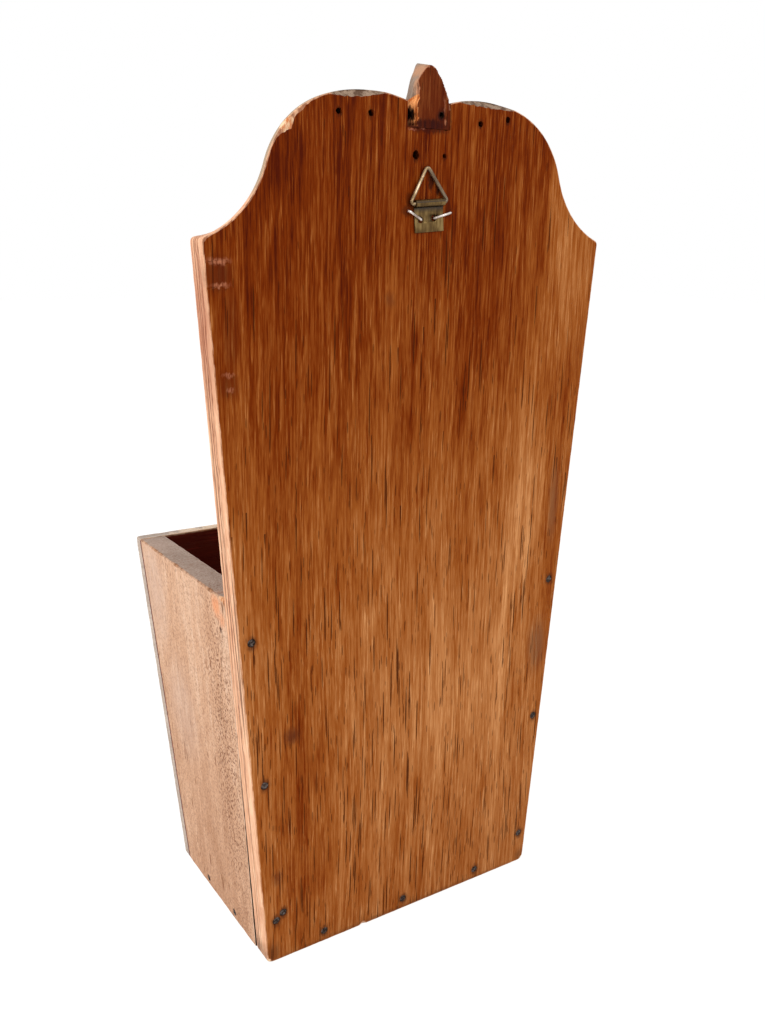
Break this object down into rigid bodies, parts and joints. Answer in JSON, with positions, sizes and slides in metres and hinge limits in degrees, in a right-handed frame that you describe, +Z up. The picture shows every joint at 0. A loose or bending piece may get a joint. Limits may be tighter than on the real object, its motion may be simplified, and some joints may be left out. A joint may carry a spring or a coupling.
{
  "type": "antique candle box",
  "caption": "Open wooden candle box for a wall or shelf: tapering backboard with a shaped head and let-in pointed finial, thin-walled box in front, swinging wire hanging ring behind.",
  "frame": {"origin": "on the floor, in the middle of the footprint: under the middle of the backboard, midway in depth between the front board's rim and the back of the hanger", "axes": "+Z up; -Y out of the front of the box; +Y out of the backboard's rear face; +X to the right for someone who looks at the front"},
  "size_m": [0.2, 0.125, 0.3999],
  "materials": {
    "oak_back": "old waxed oak, red brown, worn",
    "oak_finial": "old waxed oak, dark red brown, chipped",
    "oak_side": "old oak, dry, lighter brown with open pores",
    "oak_front": "old waxed oak outside, dark inside",
    "oak_bottom": "old oak, dry and dark",
    "old_brass": "dull olive, tarnished",
    "ring_wire": "worn bright on the outside",
    "staple_wire": "dull silver",
    "nail_iron": "black iron, lightly rusted"
  },
  "bodies": {
    "box": {"backboard": "oak_back", "finial": "oak_finial", "left_side_board": "oak_side", "right_side_board": "oak_side", "front_board": "oak_front", "bottom_board": "oak_bottom", "hanger_plate": "old_brass", "hanger_staple_left": "staple_wire", "hanger_staple_right": "staple_wire", "nails_back_to_left_side": "nail_iron", "nails_back_to_right_side": "nail_iron", "nails_back_to_bottom": "nail_iron", "nails_front_to_left_side": "nail_iron", "nails_front_to_right_side": "nail_iron", "nails_front_to_bottom": "nail_iron", "nails_left_side_to_bottom": "nail_iron", "nails_right_side_to_bottom": "nail_iron"},
    "ring": {"hanger_ring": "ring_wire"}
  },
  "joints": [
    {"name": "ring_swing", "type": "hinge", "parent": "box", "child": "ring", "pos_m": [-0.0011, 0.061, 0.345], "axis": [-0.9969, 0, 0.0785], "range_deg": [0, 160]}
  ]
}
